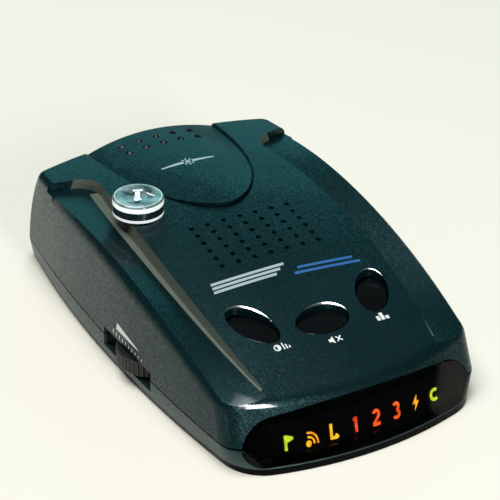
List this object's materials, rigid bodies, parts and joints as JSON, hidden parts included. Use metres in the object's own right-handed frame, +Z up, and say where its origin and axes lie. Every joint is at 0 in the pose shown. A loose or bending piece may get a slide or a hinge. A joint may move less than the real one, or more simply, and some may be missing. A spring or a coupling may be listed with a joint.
{
  "type": "radar detector",
  "caption": "Windscreen radar and laser detector: sloped case with speaker grille, tinted display lens, top keys, side volume wheel and a clear laser lens.",
  "frame": {"origin": "on the flat underside, on the plane of symmetry, beneath the middle of the volume slot region of the case", "axes": "+Y from the display end towards the antenna and laser end, +Z up out of the underside, +X to the right as seen by someone reading the display"},
  "size_m": [0.074, 0.1217, 0.0341],
  "materials": {
    "shell_top": "metallic flake paint",
    "shell_base": "metallic flake paint",
    "smoked_lens": "polished smoked tint",
    "red_window": "polished dark red",
    "clear_lens": "polished clear",
    "key_black": "polished",
    "switch_white": "moulded",
    "wheel_black": "moulded, ribbed rim",
    "steel": "zinc plated",
    "component_black": "moulded",
    "label": "printed film, left blank",
    "mask_black": "moulded",
    "legend_glow": "tinted diffuser",
    "led_amber": "moulded",
    "circuit_board": "solder mask",
    "tin": "tinned",
    "can_blue": "sleeved can",
    "brass": "plain",
    "cloth": "woven",
    "foam": "foamed",
    "cone_paper": "treated paper",
    "ferrite": "sintered",
    "phenolic": "laminate",
    "wire_red": "insulation",
    "wire_black": "insulation",
    "die_cast": "as cast",
    "microwave_laminate": "laminate",
    "diode_dark": "moulded"
  },
  "bodies": {
    "case": {"upper_cover": "shell_top", "lower_cover": "shell_base", "display_lens": "smoked_lens", "front_laser_window": "red_window", "top_laser_lens": "clear_lens", "volume_pot": "component_black", "case_screws": "steel", "board_screws": "steel", "horn_screws": "steel", "laser_screws": "steel", "rating_label": "label", "display_mask": "mask_black", "legend_windows": "legend_glow", "display_leds": "led_amber", "light_baffle": "mask_black", "display_board": "circuit_board", "display_header": "component_black", "switch_bodies": "component_black", "switch_frames": "tin", "main_board": "circuit_board", "processor": "component_black", "processor_pins": "tin", "logic_chips": "component_black", "capacitors": "can_blue", "crystal": "tin", "regulator": "component_black", "power_jack": "component_black", "jack_contact": "brass", "speaker_cloth": "cloth", "speaker_gasket": "foam", "speaker_basket": "steel", "speaker_cone": "cone_paper", "speaker_dust_cap": "cone_paper", "speaker_magnet": "ferrite", "speaker_terminals": "phenolic", "speaker_lead_red": "wire_red", "speaker_lead_black": "wire_black", "horn_antenna": "die_cast", "microwave_board": "microwave_laminate", "shield_can": "tin", "laser_board": "circuit_board", "front_photodiode": "diode_dark", "condenser_lens": "clear_lens", "condenser_holder": "mask_black", "top_photodiode": "diode_dark"},
    "dim_key": {"dim_button": "key_black", "dim_plunger": "switch_white"},
    "mute_key": {"mute_button": "key_black", "mute_plunger": "switch_white"},
    "city_key": {"city_button": "key_black", "city_plunger": "switch_white"},
    "volume_dial": {"volume_wheel": "wheel_black", "volume_shaft": "steel", "volume_screw": "steel"}
  },
  "joints": [
    {"name": "dim_press", "type": "slide", "parent": "case", "child": "dim_key", "axis": [0, 0, -1], "range_m": [0, 0.00045], "stiffness_N_per_m": 400},
    {"name": "mute_press", "type": "slide", "parent": "case", "child": "mute_key", "axis": [0, 0, -1], "range_m": [0, 0.00045], "stiffness_N_per_m": 400},
    {"name": "city_press", "type": "slide", "parent": "case", "child": "city_key", "axis": [0, 0, -1], "range_m": [0, 0.00045], "stiffness_N_per_m": 400},
    {"name": "volume_turn", "type": "hinge", "parent": "case", "child": "volume_dial", "pos_m": [-0.0288, -0.006, 0.0058], "axis": [0, 0, 1], "range_deg": [-135, 135]}
  ]
}
